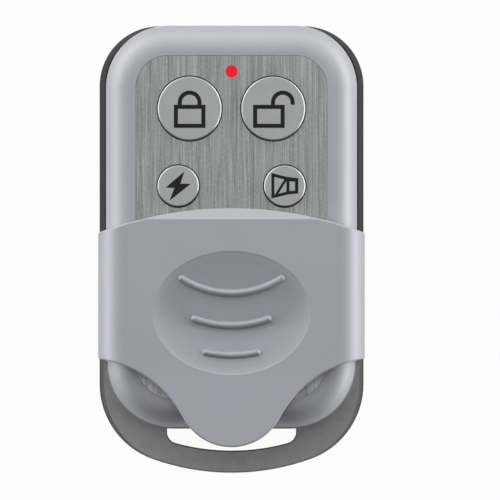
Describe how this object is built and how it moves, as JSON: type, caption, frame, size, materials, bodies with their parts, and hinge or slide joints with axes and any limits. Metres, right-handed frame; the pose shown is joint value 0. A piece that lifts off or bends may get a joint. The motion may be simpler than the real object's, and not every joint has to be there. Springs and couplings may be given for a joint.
{
  "type": "alarm key fob",
  "caption": "Handheld alarm remote: metal shells, brushed plate with round buttons and a red indicator, slide cover over the buttons, key ring slot in the tail.",
  "frame": {"origin": "middle of the back face, under the middle of the plan's box", "axes": "+Z out of the button side, +Y to the end with the indicator, +X to the right seen from the button side"},
  "size_m": [0.0368, 0.062, 0.0144],
  "materials": {
    "shell_dark": "satin dark grey paint on the die-cast rear shell",
    "shell_silver": "satin silver-grey paint on the die-cast front shell",
    "cover_silver": "satin silver-grey paint on the die-cast slide cover",
    "brushed_plate": "brushed lengthways",
    "button_metal": "satin, with a bright turned edge",
    "symbol_ink": "dark grey filler, level with the cap",
    "red_lens": "clear red, lit from below",
    "led_body": "milky",
    "board_green": "green solder mask",
    "chip_black": "moulded black",
    "can_steel": "nickel plated",
    "copper_wire": "enamelled copper wire",
    "sleeve": "printed shrink sleeve, left plain",
    "contact_steel": "nickel-plated spring steel",
    "screw_steel": "zinc plated",
    "switch_black": "moulded black",
    "switch_grey": "moulded grey"
  },
  "bodies": {
    "fob_body": {"rear_shell": "shell_dark", "front_shell": "shell_silver", "face_plate": "brushed_plate", "led_light_pipe": "red_lens", "indicator_led": "led_body", "circuit_board": "board_green", "encoder_chip": "chip_black", "rf_transistor": "chip_black", "saw_resonator": "can_steel", "coil_antenna": "copper_wire", "chip_resistors": "chip_black", "battery_cell": "can_steel", "battery_sleeve": "sleeve", "battery_plate_contact": "contact_steel", "battery_spring_plate": "contact_steel", "battery_spring": "contact_steel", "case_screws": "screw_steel", "board_screws": "screw_steel", "lock_switch_housing": "switch_black", "lock_snap_disc": "contact_steel", "unlock_switch_housing": "switch_black", "unlock_snap_disc": "contact_steel", "bolt_switch_housing": "switch_black", "bolt_snap_disc": "contact_steel", "horn_switch_housing": "switch_black", "horn_snap_disc": "contact_steel"},
    "lock_key": {"lock_button": "button_metal", "lock_symbol": "symbol_ink", "lock_switch_plunger": "switch_grey"},
    "unlock_key": {"unlock_button": "button_metal", "unlock_symbol": "symbol_ink", "unlock_switch_plunger": "switch_grey"},
    "bolt_key": {"bolt_button": "button_metal", "bolt_symbol": "symbol_ink", "bolt_switch_plunger": "switch_grey"},
    "horn_key": {"horn_button": "button_metal", "horn_symbol": "symbol_ink", "horn_switch_plunger": "switch_grey"},
    "cover": {"slide_cover": "cover_silver"}
  },
  "joints": [
    {"name": "cover_slide", "type": "slide", "parent": "fob_body", "child": "cover", "axis": [0, 1, 0], "range_m": [0, 0.0194]},
    {"name": "lock_press", "type": "slide", "parent": "fob_body", "child": "lock_key", "axis": [0, 0, -1], "range_m": [0, 0.0003], "stiffness_N_per_m": 4000, "springref_m": -0.0001, "deforming": ["lock_snap_disc"]},
    {"name": "unlock_press", "type": "slide", "parent": "fob_body", "child": "unlock_key", "axis": [0, 0, -1], "range_m": [0, 0.0003], "stiffness_N_per_m": 4000, "springref_m": -0.0001, "deforming": ["unlock_snap_disc"]},
    {"name": "bolt_press", "type": "slide", "parent": "fob_body", "child": "bolt_key", "axis": [0, 0, -1], "range_m": [0, 0.0003], "stiffness_N_per_m": 4000, "springref_m": -0.0001, "deforming": ["bolt_snap_disc"]},
    {"name": "horn_press", "type": "slide", "parent": "fob_body", "child": "horn_key", "axis": [0, 0, -1], "range_m": [0, 0.0003], "stiffness_N_per_m": 4000, "springref_m": -0.0001, "deforming": ["horn_snap_disc"]}
  ]
}
